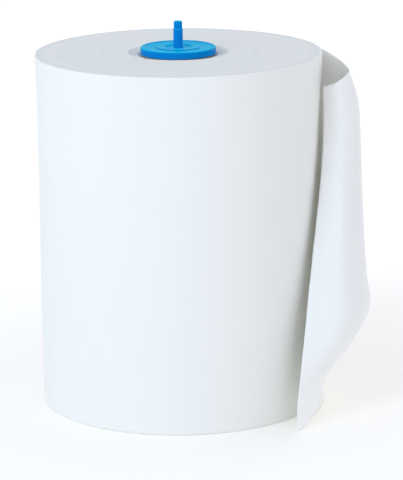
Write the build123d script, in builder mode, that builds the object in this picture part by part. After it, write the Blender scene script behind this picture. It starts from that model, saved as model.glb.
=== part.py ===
# A hard wound roll of hand towel on end, with its loose tail, its card core and its end plug.
# Origin: middle of the core's open end, in the plane the roll stands on. +Z up, towards the pin.
# The loose tail leaves the roll on the +X side and comes forward, towards -Y.
import os
from itertools import pairwise
from math import cos, radians, sin

from build123d import *

# Web and roll
web_width = 210.0
roll_radius = 84.0
rim_round = 0.9
rim_flare = 0.8
flare_height = 46.0

# Bands of turns in the upper end face, from the collar out to the rim
band_step = 0.4
band_level_shares = (0.35, 0.8, 0.2, 0.7, 0.1, 0.6)

# Core of wound card, with the mouth that the plug has pressed wider
core_inner_radius = 19.0
core_wall = 2.5
core_set_back = 1.0
mouth_pressing = 0.4
mouth_depth = 29.0

# Room between the core and the first turns
winding_clearance = 0.1
collar_radius = 29.4
collar_depth = 1.9
collar_slope = 1.2

# Moulded end plug
flange_radius = 22.3
flange_height = 4.2
flange_bevel = 0.9
lip_width = 1.3
lip_depth = 0.35
ring_radius = 14.4
ring_width = 0.9
ring_depth = 0.5
dish_radius = 8.5
dish_depth = 0.9
dish_slope = 0.7
plug_wall = 1.6
sleeve_length = 26.0
sleeve_clearance = 0.35
grip_rib_count = 8
grip_rib_width = 1.6
grip_rib_lead = 3.0
boss_radius = 4.4
boss_length = 6.0

# Pin on the plug
pin_radius = 2.8
pin_height = 15.1
pin_tip_radius = 2.55
pin_tip_length = 4.6
pin_tip_bevel = 0.8

# Loose tail of the web
tail_thickness = 0.8
tail_root_depth = 1.5
tail_top_gap = 0.4

# The tail from the floor up. Each row holds its height as a share of the web's width, the angle at
# which it leaves the roll in degrees, then the places of its belly, its nose and its cut edge, each
# as shares of the roll's radius to the right and forwards.
tail_share_rows = (
    (0.00, 12, 1.006, 0.145, 0.905, 0.640, 0.793, 0.944),
    (0.06, 13, 1.008, 0.200, 0.920, 0.660, 0.792, 0.895),
    (0.12, 18, 1.047, 0.265, 0.955, 0.690, 0.806, 0.845),
    (0.18, 25, 1.160, 0.310, 1.020, 0.700, 0.822, 0.795),
    (0.25, 31, 1.268, 0.338, 1.095, 0.700, 0.841, 0.745),
    (0.32, 35, 1.329, 0.345, 1.150, 0.680, 0.859, 0.690),
    (0.40, 35, 1.307, 0.320, 1.145, 0.620, 0.881, 0.625),
    (0.52, 33, 1.290, 0.280, 1.140, 0.540, 0.916, 0.530),
    (0.66, 31, 1.278, 0.235, 1.140, 0.455, 0.959, 0.425),
    (0.80, 29, 1.268, 0.200, 1.145, 0.385, 0.993, 0.320),
    (0.91, 26, 1.252, 0.190, 1.135, 0.345, 1.005, 0.245),
    (1.00, 20, 1.188, 0.195, 1.095, 0.320, 1.004, 0.190),
)
tail_strip_count = 30

# How far the tail's upper edge has sagged at its belly, nose and cut edge, as shares of its width
belly_sag_share = 0.043
nose_sag_share = 0.067
edge_sag_share = 0.09

# Worked out from the sizes above
core_radius = core_inner_radius + core_wall
core_top = web_width - core_set_back
bore_radius = core_radius + winding_clearance
collar_floor = web_width - collar_depth
mouth_radius = core_inner_radius + mouth_pressing
plug_top = core_top + flange_height
sleeve_radius = mouth_radius - sleeve_clearance
sleeve_foot = core_top - sleeve_length
pin_top = plug_top + pin_height
root_radius = roll_radius - tail_root_depth


def band_points() -> list[tuple[float, float]]:
    """Steps of the upper end face, from the collar out to the rim, as radius and height."""
    band_width = (roll_radius - rim_round - collar_radius) / len(band_level_shares)
    points = []
    for place, level_share in enumerate(band_level_shares):
        level = web_width - band_step * level_share
        points.append((collar_radius + place * band_width, level))
        points.append((collar_radius + (place + 1) * band_width, level))
    return points


def slope_at(place: int, column: int) -> float:
    """How fast one column of the tail's rows changes with height, across the rows on either side."""
    lower = tail_share_rows[max(place - 1, 0)]
    upper = tail_share_rows[min(place + 1, len(tail_share_rows) - 1)]
    return (upper[column] - lower[column]) / (upper[0] - lower[0])


def row_shares_at(height_share: float) -> list[float]:
    """The tail's row at any height, on smooth curves through the rows that are given."""
    place = max(index for index, row in enumerate(tail_share_rows[:-1]) if row[0] <= height_share)
    lower = tail_share_rows[place]
    upper = tail_share_rows[place + 1]
    gap = upper[0] - lower[0]
    way = (height_share - lower[0]) / gap
    blend = way * way * (3 - 2 * way)
    shares = [height_share]
    for column in range(1, len(lower)):
        bend = (1 - way) * slope_at(place, column) - way * slope_at(place + 1, column)
        level = lower[column] + blend * (upper[column] - lower[column])
        shares.append(level + gap * way * (1 - way) * bend)
    return shares


def tail_line(side: float, height_share: float) -> Edge:
    """A line round the tail's outer (side 1) or inner (side -1) face, from its root to its cut edge."""
    _, leave_angle, *place_shares = row_shares_at(height_share)
    height = height_share * (web_width - tail_top_gap)
    turn = radians(leave_angle)
    places = [Vector(root_radius * cos(turn), root_radius * sin(turn), height)]
    sag_shares = (belly_sag_share, nose_sag_share, edge_sag_share)
    for right, forwards, sag_share in zip(place_shares[::2], place_shares[1::2], sag_shares):
        places.append(Vector(right * roll_radius, -forwards * roll_radius, height * (1 - sag_share)))
    into_nose = (places[2] - places[1]).normalized()
    out_of_nose = (places[3] - places[2]).normalized()
    headings = [
        Vector(sin(turn), -cos(turn), 0),
        Vector(0, -1, 0),
        into_nose + out_of_nose,
        out_of_nose,
    ]
    for index, heading in enumerate(headings):
        outwards = Vector(-heading.Y, heading.X, 0).normalized()
        places[index] += outwards * (side * tail_thickness / 2)
    return Edge.make_spline(places, tangents=headings)


def tail_solid() -> Solid:
    """The tail as a closed sheet, in narrow strips from the floor up, with its ends closed."""
    lines = []
    for place in range(tail_strip_count + 1):
        height_share = place / tail_strip_count
        lines.append((tail_line(1, height_share), tail_line(-1, height_share)))
    faces = [Face.make_surface_from_curves(*lines[0]), Face.make_surface_from_curves(*lines[-1])]
    for (outer_low, inner_low), (outer_high, inner_high) in pairwise(lines):
        faces.append(Face.make_surface_from_curves(outer_low, outer_high))
        faces.append(Face.make_surface_from_curves(inner_low, inner_high))
        for end in (0, 1):
            low = Edge.make_line(outer_low @ end, inner_low @ end)
            high = Edge.make_line(outer_high @ end, inner_high @ end)
            faces.append(Face.make_surface_from_curves(low, high))
    return Solid(Shell(faces))


# Card core: a tube, open at the lower end, with a wider mouth for the plug
with BuildPart() as core_tube:
    with BuildSketch():
        Circle(core_radius)
        Circle(core_inner_radius, mode=Mode.SUBTRACT)
    extrude(amount=core_top)
    with BuildSketch(Plane.XY.offset(core_top - mouth_depth)):
        Circle(mouth_radius)
    extrude(amount=mouth_depth, mode=Mode.SUBTRACT)

# Paper: the wound turns with their stepped end, and the tail that runs out of the last turn
with BuildPart() as paper_roll:
    add(tail_solid())
    with BuildSketch(Plane.XZ):
        with BuildLine():
            upper_end = Polyline(
                (bore_radius, 0),
                (bore_radius, collar_floor),
                (collar_radius - collar_slope, collar_floor),
                *band_points(),
            )
            Polyline(
                upper_end @ 1,
                (roll_radius + rim_flare, web_width - band_step - rim_round),
                (roll_radius, web_width - flare_height),
                (roll_radius, rim_round),
                (roll_radius - rim_round, 0),
                upper_end @ 0,
            )
        make_face()
    revolve(axis=Axis.Z)

# Plug: flange with lip, ring and dish, a sleeve with grip ribs in the core, a boss and the pin
with BuildPart() as core_plug:
    with BuildSketch(Plane.XZ):
        with BuildLine():
            Polyline(
                (0, plug_top - dish_depth),
                (dish_radius - dish_slope, plug_top - dish_depth),
                (dish_radius, plug_top),
                (ring_radius - ring_width, plug_top),
                (ring_radius - ring_width, plug_top - ring_depth),
                (ring_radius, plug_top - ring_depth),
                (ring_radius, plug_top - lip_depth),
                (flange_radius - flange_bevel - lip_width, plug_top - lip_depth),
                (flange_radius - flange_bevel - lip_width, plug_top),
                (flange_radius - flange_bevel, plug_top),
                (flange_radius, plug_top - flange_bevel),
                (flange_radius, core_top),
                (sleeve_radius, core_top),
                (sleeve_radius, sleeve_foot),
                (sleeve_radius - plug_wall, sleeve_foot),
                (sleeve_radius - plug_wall, plug_top - dish_depth - plug_wall),
                (boss_radius, plug_top - dish_depth - plug_wall),
                (boss_radius, plug_top - dish_depth - boss_length),
                (0, plug_top - dish_depth - boss_length),
                close=True,
            )
        make_face()
    revolve(axis=Axis.Z)
    with BuildSketch(Plane.XY.offset(sleeve_foot + grip_rib_lead)):
        with PolarLocations(sleeve_radius, grip_rib_count):
            Circle(grip_rib_width / 2)
        Circle(mouth_radius, mode=Mode.INTERSECT)
    extrude(amount=sleeve_length - grip_rib_lead)
    with BuildSketch(Plane.XY.offset(plug_top - dish_depth)):
        Circle(pin_radius)
    extrude(amount=dish_depth + pin_height - pin_tip_length)
    with BuildSketch(Plane.XY.offset(pin_top - pin_tip_length)):
        Circle(pin_tip_radius)
    extrude(amount=pin_tip_length)
    chamfer(core_plug.edges().sort_by(Axis.Z)[-1], length=pin_tip_bevel)

paper_roll.part.label = "paper_roll"
core_tube.part.label = "core_tube"
core_plug.part.label = "core_plug"

os.makedirs("parts", exist_ok=True)
export_step(paper_roll.part, "parts/paper_roll.step")
export_step(core_tube.part, "parts/core_tube.step")
export_step(core_plug.part, "parts/core_plug.step")
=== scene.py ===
"""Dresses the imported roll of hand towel: wound web, loose tail, card core and moulded end plug.

Lengths are in metres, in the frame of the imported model: +Z runs up the roll's axis towards the
plug's pin, the loose tail leaves on the +X side, and the camera stands on the -Y side.
"""

import logging
import math
from dataclasses import dataclass, field
from enum import Enum
from typing import Callable, Iterable, Mapping

import bmesh
import bpy
from mathutils import Matrix, Vector, noise


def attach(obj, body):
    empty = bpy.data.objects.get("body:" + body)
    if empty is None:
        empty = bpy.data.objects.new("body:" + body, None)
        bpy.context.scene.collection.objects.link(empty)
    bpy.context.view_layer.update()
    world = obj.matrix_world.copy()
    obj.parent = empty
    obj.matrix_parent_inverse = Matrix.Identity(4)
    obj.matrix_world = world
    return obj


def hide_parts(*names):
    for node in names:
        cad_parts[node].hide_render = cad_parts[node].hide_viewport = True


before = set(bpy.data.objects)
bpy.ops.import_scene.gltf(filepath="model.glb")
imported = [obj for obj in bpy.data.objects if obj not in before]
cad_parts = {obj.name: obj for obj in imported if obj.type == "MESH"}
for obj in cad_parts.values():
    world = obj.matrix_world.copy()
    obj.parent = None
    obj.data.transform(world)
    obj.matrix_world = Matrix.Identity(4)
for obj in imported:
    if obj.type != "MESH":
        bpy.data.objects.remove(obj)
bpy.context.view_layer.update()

MM = 0.001
MERGE_REACH = 0.001 * MM
SLIVER_REACH = 0.0005 * MM
WHITE = "#FFFFFF"
ROOT_BODY = "root"
ROUND_SHARE = 0.3  # how far the middle of a rounded edge lies in from its corner
BAND_SEED = 3.7
RING_SEED = 11.3
FOOT_SEED = 5.1
CUT_SEED = 2.3
NICK_SEED = 8.1
log = logging.getLogger("towel_roll")


class Node(Enum):
    """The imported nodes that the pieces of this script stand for."""

    PAPER = "paper_roll"
    CORE = "core_tube"
    PLUG = "core_plug"


class Slot(Enum):
    """The record's material slots."""

    PAPER = "towel_paper"
    CARD = "core_card"
    PLASTIC = "plug_plastic"


class Rays(Enum):
    """Kinds of ray that see a white background: the Light Path outputs."""

    CAMERA = "Is Camera Ray"
    GLOSSY = "Is Glossy Ray"
    TRANSMISSION = "Is Transmission Ray"


def linear(colour: str) -> tuple[float, float, float, float]:
    """Turns an sRGB hex colour into the linear colour that shaders take.

    Args:
        colour: six hex digits after a hash sign.

    Returns:
        Red, green, blue and an alpha of one.
    """
    parts = [int(colour[i : i + 2], 16) / 255 for i in (1, 3, 5)]
    lit = [c / 12.92 if c <= 0.04045 else ((c + 0.055) / 1.055) ** 2.4 for c in parts]
    return (*lit, 1.0)


def add_node(
    tree: bpy.types.NodeTree,
    kind: str,
    settings: Mapping[str | int, object] | None = None,
    links: Mapping[str | int, bpy.types.NodeSocket] | None = None,
) -> bpy.types.Node:
    """Adds one node with its settings and links.

    Args:
        tree: the node tree it goes into.
        kind: the node's type name.
        settings: values by name of property, or by name or number of input socket.
        links: output sockets that feed its inputs, by the inputs' name or number.

    Returns:
        The new node.
    """
    node = tree.nodes.new(kind)
    for name, value in (settings or {}).items():
        if isinstance(name, str) and hasattr(node, name):
            setattr(node, name, value)
        else:
            node.inputs[name].default_value = value
    for name, output in (links or {}).items():
        tree.links.new(output, node.inputs[name])
    return node


def add_noise(
    tree: bpy.types.NodeTree,
    place: bpy.types.NodeSocket,
    size: float,
    detail: float,
    roughness: float = 0.5,
) -> bpy.types.NodeSocket:
    """Adds a cloudy pattern.

    Args:
        tree: the node tree it goes into.
        place: the socket that says where a point lies.
        size: how wide one cloud is.
        detail: how many finer layers it has.
        roughness: how strong the finer layers are.

    Returns:
        The pattern's level, about a half on average.
    """
    settings = {"Scale": 1 / size, "Detail": detail, "Roughness": roughness}
    return add_node(tree, "ShaderNodeTexNoise", settings, {"Vector": place}).outputs["Fac"]


def add_shades(
    tree: bpy.types.NodeTree, share: bpy.types.NodeSocket, first: str, second: str
) -> bpy.types.NodeSocket:
    """Adds a colour that runs between two sRGB hex colours.

    Args:
        tree: the node tree it goes into.
        share: 0 for the first colour, 1 for the second.
        first: the first colour.
        second: the second colour.

    Returns:
        The colour's socket.
    """
    settings = {"data_type": "RGBA", 6: linear(first), 7: linear(second)}
    return add_node(tree, "ShaderNodeMix", settings, {0: share}).outputs[2]


def add_bump(
    tree: bpy.types.NodeTree,
    level: bpy.types.NodeSocket,
    height: float,
    below: bpy.types.NodeSocket | None = None,
    strength: float = 1.0,
) -> bpy.types.NodeSocket:
    """Adds a fine relief to a surface.

    Args:
        tree: the node tree it goes into.
        level: the pattern that it follows.
        height: how high the pattern's full level stands.
        below: the relief that it lies on, if any.
        strength: how much of it shows.

    Returns:
        The normal's socket.
    """
    links = {"Height": level}
    if below is not None:
        links["Normal"] = below
    settings = {"Strength": strength, "Distance": height}
    return add_node(tree, "ShaderNodeBump", settings, links).outputs["Normal"]


def new_material(name: str) -> tuple[bpy.types.Material, bpy.types.NodeTree, bpy.types.Node]:
    """Makes an empty node material.

    Args:
        name: the material's name.

    Returns:
        The material, its tree and its output node.
    """
    material = bpy.data.materials.new(name)
    material.use_nodes = True
    tree = material.node_tree
    tree.nodes.clear()
    return material, tree, add_node(tree, "ShaderNodeOutputMaterial")


def smooth_share(share: float) -> float:
    """Eases a share from 0 to 1 so that it starts and ends level."""
    share = min(max(share, 0.0), 1.0)
    return share * share * (3 - 2 * share)


def noise_share(along: float, seed: float, turn: float = 0.0) -> float:
    """Smooth noise from 0 to 1.

    Args:
        along: the place on the line that the noise follows.
        seed: which line it is.
        turn: how far to the side of that line.

    Returns:
        The noise there.
    """
    return 0.5 + 0.5 * noise.noise(Vector((along, seed, turn)))


def rounded_edge(radius: float, top: float, size: float, steps: int) -> list[tuple[float, float]]:
    """A rounded upper edge, from the side to the top.

    Args:
        radius: the outer radius below the edge.
        top: the height of the face above it.
        size: the rounding.
        steps: how many steps the rounding takes.

    Returns:
        Radius and height of each corner.
    """
    turns = [math.pi / 2 * step / steps for step in range(steps + 1)]
    return [
        (radius - size * (1 - math.cos(turn)), top - size * (1 - math.sin(turn)))
        for turn in turns
    ]


def spin_outline(outline: Iterable[tuple[float, float]], steps: int) -> bmesh.types.BMesh:
    """Turns a closed outline about the roll's axis.

    Args:
        outline: radius and height of each corner, in order.
        steps: how many steps the full turn takes.

    Returns:
        A closed mesh whose faces point outwards.
    """
    turned = bmesh.new()
    corners = [turned.verts.new((radius, 0.0, height)) for radius, height in outline]
    sides = [turned.edges.new((a, b)) for a, b in zip(corners, corners[1:] + corners[:1])]
    bmesh.ops.spin(
        turned,
        geom=corners + sides,
        cent=(0, 0, 0),
        axis=(0, 0, 1),
        dvec=(0, 0, 0),
        angle=math.tau,
        steps=steps,
        use_merge=True,
        use_duplicate=False,
    )
    bmesh.ops.remove_doubles(turned, verts=turned.verts, dist=MERGE_REACH)
    bmesh.ops.dissolve_degenerate(turned, edges=turned.edges, dist=SLIVER_REACH)
    bmesh.ops.recalc_face_normals(turned, faces=turned.faces)
    return turned


def finish_piece(
    name: str, made: bmesh.types.BMesh, material: bpy.types.Material, node: Node
) -> bpy.types.Object:
    """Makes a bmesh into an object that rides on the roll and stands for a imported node.

    Args:
        name: the piece's name.
        made: its finished bmesh, which is freed.
        material: its finish.
        node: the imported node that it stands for.

    Returns:
        The new object.
    """
    mesh = bpy.data.meshes.new(name)
    made.to_mesh(mesh)
    made.free()
    mesh.polygons.foreach_set("use_smooth", [True] * len(mesh.polygons))
    mesh.materials.append(material)
    piece = bpy.data.objects.new(name, mesh)
    bpy.context.scene.collection.objects.link(piece)
    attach(piece, ROOT_BODY)
    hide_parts(node.value)
    log.info("%s: %d faces", name, len(mesh.polygons))
    return piece


@dataclass(frozen=True)
class CrepedTissue:
    """Two-ply creped tissue, through the web's face.

    Creping leaves fine ridges across the web, which here run up the roll, and the pulp lies a
    little unevenly. The face is matt and soft, and a shade warmer than a neutral white.
    """

    name: str = "creped_tissue_two_ply"
    colour: str = "#F3F3F0"
    cloud_colour: str = "#F1F1EE"
    ridge_spacing: float = 0.9 * MM  # 0.3 mm on the real web, which is too fine to show
    cloud_size: float = 14 * MM
    ridge_height: float = 0.035 * MM
    ridge_squash: float = 0.08  # along the roll, which draws each ridge out to about 11 mm
    lump_size: float = 3.2 * MM
    lump_height: float = 0.05 * MM
    through: float = 0.15
    through_reach: float = 0.8 * MM

    def make(self) -> bpy.types.Material:
        """Builds the material and returns it."""
        material, tree, output = new_material(self.name)
        place = add_node(tree, "ShaderNodeTexCoord").outputs["Object"]
        clouds = add_noise(tree, place, self.cloud_size, 3.0)
        squash = {"Scale": (1.0, 1.0, self.ridge_squash)}
        along = add_node(tree, "ShaderNodeMapping", squash, {"Vector": place}).outputs["Vector"]
        ridges = add_noise(tree, along, self.ridge_spacing, 2.0, 0.6)
        lumps = add_noise(tree, place, self.lump_size, 3.0, 0.55)
        colour = add_shades(tree, clouds, self.colour, self.cloud_colour)
        ridged = add_bump(tree, ridges, self.ridge_height)
        relief = add_bump(tree, lumps, self.lump_height, ridged)
        # Tissue scatters light through its fibres and has almost no gloss.
        shader = add_node(
            tree,
            "ShaderNodeBsdfPrincipled",
            {
                "Roughness": 0.95,
                "IOR": 1.5,
                "Specular IOR Level": 0.2,
                "Subsurface Weight": self.through,
                "Subsurface Radius": (1.0, 1.0, 1.0),
                "Subsurface Scale": self.through_reach,
                "Sheen Weight": 0.05,
                "Sheen Roughness": 0.5,
            },
            {"Base Color": colour, "Normal": relief},
        )
        tree.links.new(shader.outputs["BSDF"], output.inputs["Surface"])
        return material


@dataclass(frozen=True)
class WoundEdge:
    """The slit edges of the wound turns, seen end on.

    The slitter leaves a flat, felt-like face in which single turns show as fine rings.
    """

    name: str = "creped_tissue_slit_edges"
    colour: str = "#F0F1ED"
    gap_colour: str = "#E9EBE7"
    turn_spacing: float = 0.9 * MM  # 0.25 mm on the real roll, which is too fine to show
    band_spacing: float = 6.0 * MM
    turn_height: float = 0.03 * MM
    fibre_size: float = 1.1 * MM
    turn_share: float = 0.5
    shade_range: tuple[float, float] = (0.45, 1.05)

    def make(self) -> bpy.types.Material:
        """Builds the material and returns it."""
        material, tree, output = new_material(self.name)
        place = add_node(tree, "ShaderNodeTexCoord").outputs["Object"]
        level = add_node(
            tree, "ShaderNodeVectorMath", {"operation": "MULTIPLY", 1: (1.0, 1.0, 0.0)}, {0: place}
        )
        radius = add_node(
            tree, "ShaderNodeVectorMath", {"operation": "LENGTH"}, {0: level.outputs["Vector"]}
        )
        turns, bands = (
            add_node(
                tree,
                "ShaderNodeTexNoise",
                {"noise_dimensions": "1D", "Scale": 1 / spacing, "Detail": detail},
                {"W": radius.outputs["Value"]},
            ).outputs["Fac"]
            for spacing, detail in ((self.turn_spacing, 1.0), (self.band_spacing, 2.0))
        )
        fibres = add_noise(tree, place, self.fibre_size, 3.0, 0.65)
        shade = add_node(
            tree,
            "ShaderNodeMath",
            {"operation": "MULTIPLY_ADD", 1: self.turn_share},
            {0: turns, 2: bands},
        )
        share = add_node(
            tree,
            "ShaderNodeMapRange",
            {"From Min": self.shade_range[0], "From Max": self.shade_range[1]},
            {"Value": shade.outputs["Value"]},
        )
        colour = add_shades(tree, share.outputs["Result"], self.colour, self.gap_colour)
        ringed = add_bump(tree, turns, self.turn_height)
        relief = add_bump(tree, fibres, self.turn_height, ringed)
        shader = add_node(
            tree,
            "ShaderNodeBsdfPrincipled",
            {"Roughness": 1.0, "IOR": 1.5, "Specular IOR Level": 0.1},
            {"Base Color": colour, "Normal": relief},
        )
        tree.links.new(shader.outputs["BSDF"], output.inputs["Surface"])
        return material


@dataclass(frozen=True)
class SpiralCard:
    """Grey-brown board, glued and wound into a tube at a slant.

    The plies leave a spiral seam, and recycled fibres show as light and dark flecks.
    """

    name: str = "spiral_wound_board"
    colour: str = "#B39C80"
    fleck_colour: str = "#8F7A61"
    seam_pitch: float = 62 * MM
    seam_width: float = 0.9 * MM
    seam_depth: float = 0.2 * MM
    fleck_size: float = 1.6 * MM
    fleck_height: float = 0.05 * MM

    def make(self) -> bpy.types.Material:
        """Builds the material and returns it."""
        material, tree, output = new_material(self.name)
        place = add_node(tree, "ShaderNodeTexCoord").outputs["Object"]
        axes = add_node(tree, "ShaderNodeSeparateXYZ", None, {"Vector": place})
        angle = add_node(
            tree,
            "ShaderNodeMath",
            {"operation": "ARCTAN2"},
            {0: axes.outputs["Y"], 1: axes.outputs["X"]},
        )
        turn = add_node(
            tree,
            "ShaderNodeMath",
            {"operation": "DIVIDE", 1: math.tau},
            {0: angle.outputs["Value"]},
        )
        climb = add_node(
            tree,
            "ShaderNodeMath",
            {"operation": "MULTIPLY_ADD", 1: 1 / self.seam_pitch},
            {0: axes.outputs["Z"], 2: turn.outputs["Value"]},
        )
        to_seam = add_node(
            tree, "ShaderNodeMath", {"operation": "PINGPONG", 1: 0.5}, {0: climb.outputs["Value"]}
        )
        seam = add_node(
            tree,
            "ShaderNodeMapRange",
            {"From Min": 0.0, "From Max": self.seam_width / self.seam_pitch},
            {"Value": to_seam.outputs["Value"]},
        )
        flecks = add_noise(tree, place, self.fleck_size, 5.0, 0.7)
        colour = add_shades(tree, flecks, self.fleck_colour, self.colour)
        seamed = add_bump(tree, seam.outputs["Result"], self.seam_depth)
        relief = add_bump(tree, flecks, self.fleck_height, seamed)
        shader = add_node(
            tree,
            "ShaderNodeBsdfPrincipled",
            {"Roughness": 0.9, "IOR": 1.5, "Specular IOR Level": 0.3},
            {"Base Color": colour, "Normal": relief},
        )
        tree.links.new(shader.outputs["BSDF"], output.inputs["Surface"])
        return material


@dataclass(frozen=True)
class MouldedPolypropylene:
    """Blue polypropylene, injection moulded in a fine spark-eroded tool.

    The skin is satin: it reflects the studio softly and lets a little light in at thin edges. The
    upper faces' copy is rougher, from coarser erosion, and its paler colour is painted light from
    above.
    """

    name: str = "polypropylene_blue_moulded"
    colour: str = "#0282D0"
    thin_colour: str = "#0387D4"
    roughness: float = 0.38
    roughness_spread: float = 0.04
    spark_size: float = 0.45 * MM
    spark_height: float = 0.008 * MM
    flow_size: float = 9 * MM

    def make(self) -> bpy.types.Material:
        """Builds the material and returns it."""
        material, tree, output = new_material(self.name)
        place = add_node(tree, "ShaderNodeTexCoord").outputs["Object"]
        flow = add_noise(tree, place, self.flow_size, 2.0)
        colour = add_shades(tree, flow, self.colour, self.thin_colour)
        gloss = add_node(
            tree,
            "ShaderNodeMapRange",
            {
                "To Min": self.roughness - self.roughness_spread,
                "To Max": self.roughness + self.roughness_spread,
            },
            {"Value": flow},
        )
        sparks = add_noise(tree, place, self.spark_size, 2.0)
        relief = add_bump(tree, sparks, self.spark_height)
        shader = add_node(
            tree,
            "ShaderNodeBsdfPrincipled",
            {
                "IOR": 1.49,
                "Specular IOR Level": 0.03,
                "Subsurface Weight": 0.12,
                "Subsurface Radius": (0.2, 0.6, 1.0),
                "Subsurface Scale": 0.8 * MM,
            },
            {
                "Base Color": colour,
                "Roughness": gloss.outputs["Result"],
                "Normal": relief,
            },
        )
        tree.links.new(shader.outputs["BSDF"], output.inputs["Surface"])
        return material


@dataclass(frozen=True)
class Dimple:
    """A shallow dent that handling has left in the outer turn.

    Angles are in degrees round the axis from the camera's side, to the right.
    """

    angle: float
    height: float
    width: float
    tall: float
    depth: float
    slant: float = 0.0

    def depth_at(self, angle: float, height: float, radius: float) -> float:
        """How deep the dent is at one place.

        Args:
            angle: the place's angle in degrees.
            height: its height.
            radius: the roll's radius there.

        Returns:
            The depth, which fades to nothing away from the dent.
        """
        across = math.radians(angle - self.angle) * radius
        up = height - self.height
        turn = math.radians(self.slant)
        a = (across * math.cos(turn) + up * math.sin(turn)) / self.width
        b = (up * math.cos(turn) - across * math.sin(turn)) / self.tall
        return self.depth * math.exp(-(a * a + b * b))


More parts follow.
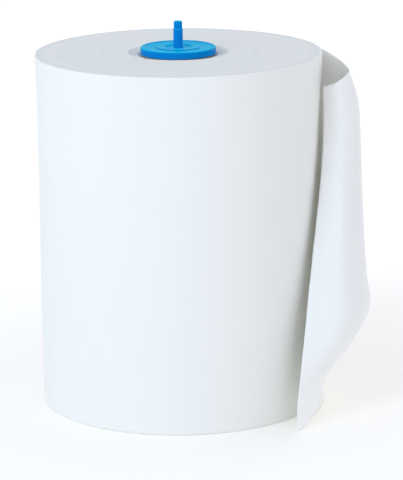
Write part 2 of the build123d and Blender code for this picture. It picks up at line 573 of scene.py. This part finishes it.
@dataclass
class WoundWeb:
    """The wound turns: outer skin, slit end faces, recess at the core and the bore."""

    radius: float = 84 * MM
    width: float = 210 * MM
    bore: float = 21.6 * MM
    collar_radius: float = 29.4 * MM
    collar_depth: float = 1.9 * MM
    collar_slope: float = 1.2 * MM
    collar_ring_count: int = 3
    collar_ring_room: float = 4.6 * MM
    collar_ring_step: float = 1.4 * MM
    collar_ring_width: float = 0.85 * MM
    collar_ring_slope: float = 0.15 * MM
    collar_ring_rise: float = 0.4 * MM
    collar_round: float = 0.3 * MM
    collar_lift: float = 0.25 * MM
    bore_round: float = 0.3 * MM
    bore_drop: float = 0.2 * MM
    foot_round: float = 0.9 * MM
    rim_width: float = 1.0 * MM
    # The rim's corners, in from its edge and down from its top, as shares of its width.
    rim_shares: tuple[tuple[float, float], ...] = ((1, 0.12), (0.7, 0), (0.3, 0.05), (0.06, 0.4))
    flare: float = 0.8 * MM
    flare_height: float = 46 * MM
    ring_width: float = 0.75 * MM
    ring_depth: float = 0.05 * MM
    ring_gap: float = 0.16 * MM
    ring_noise: float = 0.9 * MM
    ring_tilt: float = 0.35
    band_width: float = 7 * MM
    band_depth: float = 0.16 * MM
    foot_ring_depth: float = 0.12 * MM
    foot_margin: float = 2 * MM
    steps: int = 288
    wall_rows: int = 96
    skin_depth: float = 0.2 * MM
    skin_reach: float = 0.01 * MM
    skin_swell: float = 0.22 * MM
    swell_width: float = 45 * MM
    swell_height: float = 110 * MM
    swell_foot: float = 8 * MM
    swell_head: float = 4 * MM
    dimples: tuple[Dimple, ...] = (
        Dimple(4, 0.2045, 3.0 * MM, 1.1 * MM, 0.35 * MM, 25),
        Dimple(8, 0.1985, 2.2 * MM, 1.4 * MM, 0.30 * MM, -40),
        Dimple(-6, 0.1560, 7.0 * MM, 2.0 * MM, 0.28 * MM, -18),
        Dimple(-2, 0.1500, 3.2 * MM, 1.2 * MM, 0.22 * MM, 30),
        Dimple(22, 0.1850, 5.0 * MM, 2.4 * MM, 0.30 * MM, 12),
        Dimple(21, 0.1250, 3.2 * MM, 8.0 * MM, 0.35 * MM, 10),
        Dimple(-12, 0.1060, 6.0 * MM, 2.2 * MM, 0.24 * MM, -25),
        Dimple(14, 0.0620, 4.2 * MM, 2.0 * MM, 0.26 * MM, 20),
        Dimple(-38, 0.1200, 9.0 * MM, 16.0 * MM, 0.22 * MM, 8),
        Dimple(150, 0.1300, 8.0 * MM, 22.0 * MM, 0.40 * MM, -12),
        Dimple(-120, 0.0700, 12.0 * MM, 9.0 * MM, 0.35 * MM, 20),
        Dimple(95, 0.1700, 6.0 * MM, 18.0 * MM, 0.30 * MM, 6),
    )

    def ring_level(self, radius: float, share: float) -> float:
        """How far the upper end dips at a ring of turns.

        Args:
            radius: the ring's radius.
            share: 0 or 1 for the ring's inner and outer corner.

        Returns:
            The dip below the web's full width.
        """
        band = noise_share(radius / self.band_width, BAND_SEED)
        ring = noise_share(radius / self.ring_noise, RING_SEED, share * self.ring_tilt)
        return self.band_depth * band + self.ring_depth * ring

    def collar_rings(self) -> list[tuple[float, float]]:
        """The loose first turns in the recess at the core: radius and height of each corner."""
        floor = self.width - self.collar_depth
        crest = floor + self.collar_ring_rise
        slope = self.collar_ring_slope
        corners = []
        for place in range(self.collar_ring_count):
            inner = self.collar_radius - self.collar_slope - self.collar_ring_room
            inner += place * self.collar_ring_step
            outer = inner + self.collar_ring_width
            corners += [(inner, floor), (inner + slope, crest)]
            corners += [(outer - slope, crest), (outer, floor)]
        return corners

    def end_rings(self) -> list[tuple[float, float]]:
        """The upper end's outline from the collar to the rim: radius and dip of each corner."""
        span = self.radius - self.rim_width - self.collar_radius
        count = round(span / self.ring_width)
        corners = []
        for place in range(count):
            inner = self.collar_radius + span * place / count
            outer = inner + span / count
            corners.append((inner + self.ring_gap / 2, self.ring_level(inner, 0.0)))
            corners.append((outer - self.ring_gap / 2, self.ring_level(inner, 1.0)))
        return corners

    def outline(self) -> list[tuple[float, float]]:
        """The turned outline of the wound web: radius and height of each corner."""
        top = self.width
        floor = top - self.collar_depth
        collar_foot = self.collar_radius - self.collar_slope
        corners = [
            (self.bore, 0.0),
            (self.bore, floor - self.bore_drop),
            (self.bore + self.bore_round, floor),
            *self.collar_rings(),
            (collar_foot - self.collar_round, floor),
            (collar_foot, floor + self.collar_lift),
        ]
        corners += [(radius, top - dip) for radius, dip in self.end_rings()]
        rim = self.radius + self.flare
        corners += [
            (rim - in_share * self.rim_width, top - down_share * self.rim_width)
            for in_share, down_share in self.rim_shares
        ]
        span = top - self.rim_width - self.foot_round
        for row in range(self.wall_rows + 1):
            height = self.foot_round + span * (1 - row / self.wall_rows)
            flare = self.flare * smooth_share(1 - (top - height) / self.flare_height) ** 2
            corners.append((self.radius + flare, height))
        foot = self.radius - self.foot_round
        eased = ROUND_SHARE * self.foot_round
        corners += [(self.radius - eased, eased), (foot, 0.0)]
        pitch = 2 * self.ring_width
        for place in range(1, round((foot - self.bore - self.foot_margin) / pitch)):
            radius = foot - pitch * place
            level = noise_share(radius / self.ring_noise, FOOT_SEED)
            corners.append((radius, self.foot_ring_depth * level))
        return corners

    def relief(self, place: Vector) -> Vector:
        """Where a point of the skin goes, with its swells and dents.

        Args:
            place: the point on the plain turned skin.

        Returns:
            The moved point.
        """
        radius = math.hypot(place.x, place.y)
        angle = math.degrees(math.atan2(place.x, -place.y))
        fade = smooth_share(place.z / self.swell_foot)
        fade *= smooth_share((self.width - place.z) / self.swell_head)
        across = place / self.swell_width
        swell = noise.noise(Vector((across.x, across.y, place.z / self.swell_height)))
        inwards = -self.skin_swell * swell * fade
        inwards += sum(dent.depth_at(angle, place.z, radius) for dent in self.dimples)
        share = (radius - inwards) / radius
        return Vector((place.x * share, place.y * share, place.z))

    def build(self) -> bmesh.types.BMesh:
        """Builds the wound web and returns its bmesh."""
        turned = spin_outline(self.outline(), self.steps)
        for face in turned.faces:
            centre = face.calc_center_median()
            inside = math.hypot(centre.x, centre.y) < self.radius - self.skin_depth
            face.material_index = int(inside)
        for vertex in turned.verts:
            if math.hypot(vertex.co.x, vertex.co.y) > self.radius - self.skin_reach:
                vertex.co = self.relief(vertex.co)
        return turned

    def dress(self, skin: CrepedTissue, edge: WoundEdge) -> bpy.types.Object:
        """Builds the piece with its two finishes.

        Args:
            skin: the finish of the outer turn.
            edge: the finish of the slit end faces.

        Returns:
            The finished piece.
        """
        piece = finish_piece("wound_web", self.build(), skin.make(), Node.PAPER)
        piece.data.materials.append(edge.make())
        return piece


@dataclass
class LooseTail:
    """The last turn, which leaves the roll, bellies out and comes back to its cut edge.

    Each row of the table is one line round the tail: its height as a share of the web's width, the
    angle in degrees at which it leaves the roll, then its belly, its nose and its cut edge, each as
    shares of the roll's radius to the right and forwards.
    """

    rows: tuple[tuple[float, ...], ...] = (
        (0.00, 12, 1.006, 0.145, 0.905, 0.640, 0.793, 0.944),
        (0.06, 13, 1.008, 0.200, 0.920, 0.660, 0.792, 0.895),
        (0.12, 18, 1.047, 0.265, 0.955, 0.690, 0.806, 0.845),
        (0.18, 25, 1.160, 0.310, 1.020, 0.700, 0.822, 0.795),
        (0.25, 31, 1.268, 0.338, 1.095, 0.700, 0.841, 0.745),
        (0.32, 35, 1.329, 0.345, 1.150, 0.680, 0.859, 0.690),
        (0.40, 35, 1.307, 0.320, 1.145, 0.620, 0.881, 0.625),
        (0.52, 33, 1.290, 0.280, 1.140, 0.540, 0.916, 0.530),
        (0.66, 31, 1.278, 0.235, 1.140, 0.455, 0.959, 0.425),
        (0.80, 29, 1.268, 0.200, 1.145, 0.385, 0.993, 0.320),
        (0.91, 26, 1.252, 0.190, 1.135, 0.345, 1.005, 0.245),
        (1.00, 20, 1.188, 0.195, 1.095, 0.320, 1.004, 0.190),
    )
    sag_shares: tuple[float, ...] = (0.043, 0.067, 0.090)
    roll_radius: float = 84 * MM
    root_radius: float = 83.2 * MM
    web_width: float = 209.6 * MM
    cut_length: float = 115 * MM
    thickness: float = 0.35 * MM
    columns: int = 120
    lines: int = 150
    fray: float = 0.25 * MM
    foot_fray: float = 0.8 * MM
    # The fold starts this far forwards at the foot and is that far forwards at its height.
    fold_foot: float = 71 * MM
    fold_head: float = 43 * MM
    fold_height: float = 18 * MM
    # It rises over the reach on the side of the cut edge, and over the back on the other side.
    fold_rise: float = 1.0 * MM
    fold_reach: float = 7 * MM
    fold_back: float = 5 * MM
    fold_way: tuple[float, float, float] = (0.94, -0.34, 0.0)
    # Shares of its height, then shares of the roll's radius to the right, over which it fades.
    fold_end_share: float = 1.3
    fold_fade_share: float = 0.6
    fold_start_share: float = 0.6
    fold_spread_share: float = 0.1
    fray_share: float = 0.03
    fray_teeth: float = 70
    foot_share: float = 0.014
    foot_nicks: float = 45

    def slope_at(self, place: int, column: int) -> float:
        """How fast a column of the table changes with height at one row.

        Args:
            place: the row's number.
            column: the column's number.

        Returns:
            The change per share of height.
        """
        lower = self.rows[max(place - 1, 0)]
        upper = self.rows[min(place + 1, len(self.rows) - 1)]
        return (upper[column] - lower[column]) / (upper[0] - lower[0])

    def row_at(self, share: float) -> list[float]:
        """A row at any height, on smooth curves through the table.

        Args:
            share: the height as a share of the web's width.

        Returns:
            The leave angle and the six place shares.
        """
        place = max(i for i, row in enumerate(self.rows[:-1]) if row[0] <= share)
        lower, upper = self.rows[place], self.rows[place + 1]
        gap = upper[0] - lower[0]
        way = (share - lower[0]) / gap
        blend = smooth_share(way)
        values = []
        for column in range(1, len(lower)):
            bend = (1 - way) * self.slope_at(place, column) - way * self.slope_at(place + 1, column)
            level = lower[column] + blend * (upper[column] - lower[column])
            values.append(level + gap * way * (1 - way) * bend)
        return values

    def line_at(self, share: float) -> Callable[[float], Vector]:
        """One line round the tail, as a smooth curve through four places.

        Args:
            share: the line's height as a share of the web's width.

        Returns:
            A function from 0 at the root to 1 at the cut edge that gives the place.
        """
        angle, *flat = self.row_at(share)
        height = share * self.web_width
        turn = math.radians(angle)
        root = Vector((math.cos(turn), math.sin(turn), 0)) * self.root_radius
        knots = [root + Vector((0, 0, height))]
        for right, forwards, sag in zip(flat[::2], flat[1::2], self.sag_shares):
            flat_place = Vector((right, -forwards, 0)) * self.roll_radius
            knots.append(flat_place + Vector((0, 0, height * (1 - sag))))
        spans = [(b - a).length for a, b in zip(knots, knots[1:])]
        chords = [(b - a) / span for a, b, span in zip(knots, knots[1:], spans)]
        headings = [
            Vector((math.sin(turn), -math.cos(turn), 0)),
            Vector((0, -1, 0)),
            (chords[1] + chords[2]).normalized(),
            chords[2],
        ]
        paces = [Vector(), Vector(), Vector(), Vector()]
        for i in (1, 2):
            mixed = chords[i - 1] * spans[i] + chords[i] * spans[i - 1]
            paces[i] = mixed / (spans[i - 1] + spans[i])
        paces[0] = chords[0] * 2 - paces[1]
        paces[3] = chords[2] * 2 - paces[2]
        speeds = [
            heading * (sum(map(abs, pace)) / sum(map(abs, heading)))
            for heading, pace in zip(headings, paces)
        ]
        total = sum(spans)

        def place_at(way: float) -> Vector:
            """The place at a share of the line's length."""
            run = way * total
            span = 0
            while span < 2 and run > spans[span]:
                run -= spans[span]
                span += 1
            part = run / spans[span]
            blend = smooth_share(part)
            bend = speeds[span] * (1 - part) - speeds[span + 1] * part
            level = knots[span] * (1 - blend) + knots[span + 1] * blend
            return level + bend * (spans[span] * part * (1 - part))

        return place_at

    def folded(self, place: Vector) -> Vector:
        """Where a point goes in the fold that runs up from the foot, near the cut edge.

        Args:
            place: the point on the plain sheet.

        Returns:
            The moved point.
        """
        run = Vector((self.fold_head - self.fold_foot, self.fold_height)).normalized()
        off = Vector((-place.y - self.fold_foot, place.z))
        aside = off.x * run.y - off.y * run.x
        reach = self.fold_reach if aside > 0 else self.fold_back
        rise = self.fold_rise * max(0.0, 1 - abs(aside) / reach)
        up = place.z / self.fold_height
        rise *= smooth_share((self.fold_end_share - up) / self.fold_fade_share)
        right = place.x / self.roll_radius
        rise *= smooth_share((right - self.fold_start_share) / self.fold_spread_share)
        return place + Vector(self.fold_way) * rise

    def frayed(self, way: float, share: float) -> tuple[float, float]:
        """A place on the sheet, with the ragged cut of its free edge and its foot.

        Args:
            way: the share of the line's length from the root.
            share: the line's height as a share of the web's width.

        Returns:
            The place that the cut really reaches, in the same shares.
        """
        teeth = noise_share(share * self.fray_teeth, CUT_SEED)
        near_cut = smooth_share(1 - (1 - way) / self.fray_share)
        nicks = noise_share(way * self.foot_nicks, NICK_SEED)
        near_foot = smooth_share(1 - share / self.foot_share)
        at_cut = near_cut * teeth * self.fray / self.cut_length
        at_foot = near_foot * nicks * self.foot_fray / self.web_width
        return way - at_cut, share + at_foot

    def build(self) -> bmesh.types.BMesh:
        """Builds the tail as a single layer of faces and returns its bmesh."""
        sheet = bmesh.new()
        bmesh.ops.create_grid(
            sheet, x_segments=self.columns, y_segments=self.lines, size=0.5, matrix=Matrix()
        )
        lines: dict[float, Callable[[float], Vector]] = {}
        for vertex in sheet.verts:
            way, share = self.frayed(vertex.co.x + 0.5, vertex.co.y + 0.5)
            share = round(min(max(share, 0.0), 1.0), 6)
            if share not in lines:
                lines[share] = self.line_at(share)
            vertex.co = self.folded(lines[share](min(max(way, 0.0), 1.0)))
        bmesh.ops.recalc_face_normals(sheet, faces=sheet.faces)
        return sheet

    def dress(self, skin: bpy.types.Material, roll: bpy.types.Object) -> bpy.types.Object:
        """Builds the piece and gives it the thickness of two plies.

        Args:
            skin: the finish of the roll's outer turn.
            roll: the wound web that it hangs from; not used.

        Returns:
            The finished piece.
        """
        piece = finish_piece("loose_tail", self.build(), skin, Node.PAPER)
        wall = piece.modifiers.new("two_plies", "SOLIDIFY")
        wall.thickness = self.thickness
        wall.offset = 0.0
        return piece


@dataclass
class CardCore:
    """The spiral-wound tube, with the mouth that the plug has pressed wider."""

    inner: float = 19 * MM
    wall: float = 2.5 * MM
    length: float = 209 * MM
    mouth_pressing: float = 0.4 * MM
    mouth_depth: float = 29 * MM
    mouth_slope: float = 2 * MM
    edge_round: float = 0.35 * MM
    steps: int = 128
    rows: int = 24

    def outline(self) -> list[tuple[float, float]]:
        """The tube's outline: radius and height of each corner."""
        outer = self.inner + self.wall
        mouth = self.inner + self.mouth_pressing
        floor = self.length - self.mouth_depth
        soft = self.edge_round
        eased = ROUND_SHARE * soft
        places = [row / self.rows for row in range(self.rows + 1)]
        corners = [(outer, soft + (self.length - 2 * soft) * place) for place in places]
        corners += [
            (outer - eased, self.length - eased),
            (outer - soft, self.length),
            (mouth + soft, self.length),
            (mouth, self.length - soft),
            (mouth, floor + self.mouth_slope),
            (self.inner, floor),
        ]
        corners += [(self.inner, floor + (soft - floor) * place) for place in places[1:]]
        corners += [(self.inner + eased, eased), (self.inner + soft, 0.0)]
        corners += [(outer - soft, 0.0), (outer - eased, eased)]
        return corners

    def dress(self, board: SpiralCard) -> bpy.types.Object:
        """Builds the piece in its finish and returns it."""
        made = spin_outline(self.outline(), self.steps)
        return finish_piece("card_core", made, board.make(), Node.CORE)


@dataclass
class EndPlug:
    """The moulded plug: flange with lip, ring and dish, sleeve with grip ribs, boss and pin."""

    seat: float = 209 * MM
    flange: float = 22.3 * MM
    flange_height: float = 4.2 * MM
    flange_round: float = 1.0 * MM
    flange_round_steps: int = 8
    lip_width: float = 1.5 * MM
    lip_depth: float = 0.35 * MM
    ring: float = 14.4 * MM
    ring_floor: float = 0.75 * MM
    ring_depth: float = 0.5 * MM
    edge_slope: float = 0.25 * MM
    dish: float = 8.5 * MM
    dish_depth: float = 0.9 * MM
    dish_slope: float = 0.9 * MM
    dish_brow_shares: tuple[float, float] = (0.3, 0.12)
    wall: float = 1.6 * MM
    sleeve: float = 19.05 * MM
    sleeve_length: float = 26 * MM
    boss: float = 4.4 * MM
    boss_length: float = 6 * MM
    rib_count: int = 8
    rib_radius: float = 0.8 * MM
    rib_out: float = 19.38 * MM
    rib_lead: float = 3 * MM
    rib_taper_share: float = 0.8
    rib_steps: int = 16
    pin: float = 2.8 * MM
    pin_tip: float = 2.55 * MM
    pin_height: float = 15.1 * MM
    pin_tip_length: float = 4.6 * MM
    pin_tip_round: float = 0.9 * MM
    pin_tip_round_steps: int = 5
    pin_fillet: float = 0.5 * MM
    pin_fillet_shares: tuple[float, float] = (0.24, 0.3)
    upward_share: float = 0.6
    moulded_round: float = 0.12 * MM
    moulded_angle: float = 35
    steps: int = 144

    def outline(self) -> list[tuple[float, float]]:
        """The plug's outline without its ribs: radius and height of each corner."""
        top = self.seat + self.flange_height
        tip = top + self.pin_height
        floor = top - self.dish_depth
        foot = self.seat - self.sleeve_length
        under = floor - self.wall
        corners = [(0.0, floor - self.boss_length)]
        corners += [(self.boss, floor - self.boss_length), (self.boss, under)]
        corners += [(self.sleeve - self.wall, under), (self.sleeve - self.wall, foot)]
        corners += [(self.sleeve, foot), (self.sleeve, self.seat), (self.flange, self.seat)]
        corners += rounded_edge(self.flange, top, self.flange_round, self.flange_round_steps)
        lip = self.flange - self.lip_width - self.flange_round
        brow_in, brow_down = self.dish_brow_shares
        fillet_out, fillet_up = self.pin_fillet_shares
        corners += [
            (lip, top),
            (lip - self.edge_slope, top - self.lip_depth),
            (self.ring + self.edge_slope, top - self.lip_depth),
            (self.ring, top - self.ring_depth),
            (self.ring - self.ring_floor, top - self.ring_depth),
            (self.ring - self.ring_floor - self.edge_slope, top),
            (self.dish, top),
            (self.dish - brow_in * self.dish_slope, top - brow_down * self.dish_depth),
            (self.dish - self.dish_slope, floor),
            (self.pin + self.pin_fillet, floor),
            (self.pin + fillet_out * self.pin_fillet, floor + fillet_up * self.pin_fillet),
            (self.pin, floor + self.pin_fillet),
            (self.pin, tip - self.pin_tip_length - self.edge_slope),
            (self.pin_tip, tip - self.pin_tip_length),
            *rounded_edge(self.pin_tip, tip, self.pin_tip_round, self.pin_tip_round_steps),
            (0.0, tip),
        ]
        return corners

    def add_ribs(self, plug: bmesh.types.BMesh) -> None:
        """Adds the grip ribs that hold the sleeve in the card.

        Args:
            plug: the plug's bmesh, which gets the ribs.
        """
        length = self.sleeve_length - self.rib_lead
        for place in range(self.rib_count):
            turn = Matrix.Rotation(math.tau * place / self.rib_count, 4, "Z")
            shift = Matrix.Translation((self.rib_out - self.rib_radius, 0, self.seat - length / 2))
            bmesh.ops.create_cone(
                plug,
                cap_ends=True,
                segments=self.rib_steps,
                radius1=self.rib_taper_share * self.rib_radius,
                radius2=self.rib_radius,
                depth=length,
                matrix=turn @ shift,
            )

    def dress(
        self, plastic: MouldedPolypropylene, eroded_top_painted_light: MouldedPolypropylene
    ) -> bpy.types.Object:
        """Builds the piece in its finishes and returns it.

        Args:
            plastic: the finish of its sides.
            eroded_top_painted_light: the finish of its upper faces, rougher and painted paler as
                painted light from above.

        Returns:
            The finished piece.
        """
        plug = spin_outline(self.outline(), self.steps)
        self.add_ribs(plug)
        # Faces that point up take the second finish, whose paler blue is painted light from above.
        for face in plug.faces:
            if face.normal.z > self.upward_share:
                face.material_index = 1
        piece = finish_piece("end_plug", plug, plastic.make(), Node.PLUG)
        piece.data.materials.append(eroded_top_painted_light.make())
        edges = piece.modifiers.new("moulded_edges", "BEVEL")
        edges.width = self.moulded_round
        edges.segments = 2
        edges.limit_method = "ANGLE"
        edges.angle_limit = math.radians(self.moulded_angle)
        edges.harden_normals = True
        return piece


@dataclass
class Lamp:
    """A soft box: where it stands, how wide it is and how strong it is."""

    name: str
    place: tuple[float, float, float]
    size: float
    power: float
    colour: str = WHITE

    def hang(self, target: Vector) -> None:
        """Hangs the lamp and points it at a target.

        Args:
            target: the point it faces.
        """
        light = bpy.data.lights.new(self.name, "AREA")
        light.shape = "DISK"
        light.size = self.size
        light.energy = self.power
        light.color = linear(self.colour)[:3]
        holder = bpy.data.objects.new(self.name, light)
        holder.location = self.place
        holder.rotation_euler = (target - Vector(self.place)).to_track_quat("-Z", "Y").to_euler()
        bpy.context.scene.collection.objects.link(holder)


@dataclass
class Studio:
    """Plain pale floor, white surroundings, soft lamps and the camera."""

    target: Vector = field(default_factory=lambda: Vector((0, 0, 0.11)))
    floor_radius: float = 3.0
    floor_steps: int = 96
    floor_grain: float = 2.5 * MM
    floor_grain_height: float = 0.1 * MM
    floor_grain_strength: float = 0.2
    floor_colour: str = "#FDFAF5"
    # Less whitening near the object paints a soft grey shade round it.
    floor_lift_in_painted_shade: float = 0.1
    floor_lift_far: float = 0.3
    floor_painted_shade_reach: tuple[float, float] = (0.12, 0.5)
    world_colour: str = "#F3F6FF"
    world_strength: float = 0.81
    lamps: tuple[Lamp, ...] = (
        Lamp("soft_box_left", (-1.35, -1.4, 0.9), 1.0, 13.3, "#D2ECFF"),
        Lamp("soft_box_low", (0.62, -0.95, 0.08), 0.4, 0.6),
        Lamp("soft_box_behind", (0.7, 1.6, 0.3), 0.5, 3.5),
        Lamp("soft_box_right", (1.35, 1.0, 0.35), 0.6, 1.6),
    )
    camera_place: tuple[float, float, float] = (0.0, -1.5191, 0.4747)
    pitch: float = 14.021
    yaw: float = 0.472
    roll: float = -0.601
    lens: float = 195.82
    sensor: float = 36.0
    nearest: float = 0.05
    diffuse_bounces: int = 12

    def seen_white(self, tree: bpy.types.NodeTree) -> bpy.types.NodeSocket:
        """One where a ray that should see white looks, otherwise zero.

        Args:
            tree: the node tree that asks.

        Returns:
            The socket with that number.
        """
        path = add_node(tree, "ShaderNodeLightPath")
        seen, *others = (path.outputs[kind.value] for kind in Rays)
        for other in others:
            either = add_node(tree, "ShaderNodeMath", {"operation": "MAXIMUM"}, {0: seen, 1: other})
            seen = either.outputs["Value"]
        return seen

    def lay_floor(self) -> None:
        """Lays the pale floor: white where nothing shades it, except a painted grey shade round the
        object.
        """
        disc = bmesh.new()
        bmesh.ops.create_circle(
            disc, cap_ends=True, segments=self.floor_steps, radius=self.floor_radius
        )
        mesh = bpy.data.meshes.new("studio_floor")
        disc.to_mesh(mesh)
        disc.free()
        floor = bpy.data.objects.new("studio_floor", mesh)
        bpy.context.scene.collection.objects.link(floor)
        material, tree, output = new_material("matt_painted_board")
        # Matt paint with a faint roller grain.
        place = add_node(tree, "ShaderNodeTexCoord").outputs["Object"]
        grain = add_noise(tree, place, self.floor_grain, 2.0)
        relief = add_bump(
            tree, grain, self.floor_grain_height, strength=self.floor_grain_strength
        )
        paint = add_node(
            tree,
            "ShaderNodeBsdfDiffuse",
            {"Color": linear(self.floor_colour)},
            {"Normal": relief},
        )
        seen = self.seen_white(tree)
        # The whitening grows away from the object, so the floor keeps its shadow and a painted grey
        # shade round it.
        away = add_node(tree, "ShaderNodeVectorMath", {"operation": "LENGTH"}, {0: place})
        fade = add_node(
            tree,
            "ShaderNodeMapRange",
            {
                "From Min": self.floor_painted_shade_reach[0],
                "From Max": self.floor_painted_shade_reach[1],
                "To Min": self.floor_lift_in_painted_shade,
                "To Max": self.floor_lift_far,
            },
            {"Value": away.outputs["Value"]},
        )
        lift = add_node(
            tree,
            "ShaderNodeMath",
            {"operation": "MULTIPLY"},
            {0: seen, 1: fade.outputs["Result"]},
        )
        glow = add_node(tree, "ShaderNodeEmission", None, {"Strength": lift.outputs["Value"]})
        both = add_node(
            tree,
            "ShaderNodeAddShader",
            None,
            {0: paint.outputs["BSDF"], 1: glow.outputs["Emission"]},
        )
        tree.links.new(both.outputs["Shader"], output.inputs["Surface"])
        mesh.materials.append(material)

    def light(self) -> None:
        """Sets the surroundings and hangs the lamps."""
        world = bpy.data.worlds.new("studio_white")
        world.use_nodes = True
        tree = world.node_tree
        tree.nodes.clear()
        output = add_node(tree, "ShaderNodeOutputWorld")
        seen = self.seen_white(tree)
        lighting = add_node(
            tree,
            "ShaderNodeBackground",
            {"Color": linear(self.world_colour), "Strength": self.world_strength},
        )
        white = add_node(tree, "ShaderNodeBackground", {"Color": linear(WHITE), "Strength": 1.0})
        mixed = add_node(
            tree,
            "ShaderNodeMixShader",
            None,
            {0: seen, 1: lighting.outputs["Background"], 2: white.outputs["Background"]},
        )
        tree.links.new(mixed.outputs["Shader"], output.inputs["Surface"])
        bpy.context.scene.world = world
        for lamp in self.lamps:
            lamp.hang(self.target)

    def place_camera(self) -> None:
        """Sets the camera where the photograph was taken from."""
        pitch, yaw, roll = (math.radians(a) for a in (self.pitch, self.yaw, self.roll))
        right = Vector((math.cos(yaw), -math.sin(yaw), 0))
        ahead = Vector(
            (math.sin(yaw) * math.cos(pitch), math.cos(yaw) * math.cos(pitch), -math.sin(pitch))
        )
        up = right.cross(ahead)
        turned_right = right * math.cos(roll) + up * math.sin(roll)
        turned_up = up * math.cos(roll) - right * math.sin(roll)
        data = bpy.data.cameras.new("camera")
        data.lens = self.lens
        data.sensor_width = self.sensor
        data.clip_start = self.nearest
        camera = bpy.data.objects.new("camera", data)
        turn = Matrix((turned_right, turned_up, -ahead)).transposed().to_4x4()
        camera.matrix_world = Matrix.Translation(self.camera_place) @ turn
        bpy.context.scene.collection.objects.link(camera)
        bpy.context.scene.camera = camera

    def build(self) -> None:
        """Lays the floor, lights the scene and places the camera."""
        self.lay_floor()
        self.light()
        self.place_camera()
        bpy.context.scene.view_settings.view_transform = "Standard"
        # White tissue passes light on many times before it leaves the gap behind the tail.
        bpy.context.scene.cycles.diffuse_bounces = self.diffuse_bounces


def main() -> None:
    """Builds the studio and the roll's pieces in order."""
    logging.basicConfig(level=logging.INFO, format="%(message)s")
    Studio().build()
    web = WoundWeb().dress(CrepedTissue(), WoundEdge())
    # The tail's copy of the tissue is painted whiter than the roll's: painted light standing in for
    # light that comes through and behind the thin sheet. It also lets much more light through.
    tail_tissue_painted_light = CrepedTissue(
        "creped_tissue_tail_painted_light", "#FEFDF7", "#FCFCF6", through=0.95, through_reach=0.5 * MM
    )
    LooseTail().dress(tail_tissue_painted_light.make(), web)
    CardCore().dress(SpiralCard())
    # The upper faces' copy is rougher, and its paler blue is painted light from above.
    eroded_top_painted_light = MouldedPolypropylene("polypropylene_blue_rough_top_painted_light", "#10BAE6", "#12BDE8", roughness=0.5)
    EndPlug().dress(MouldedPolypropylene(), eroded_top_painted_light)


if __name__ == "__main__":
    main()
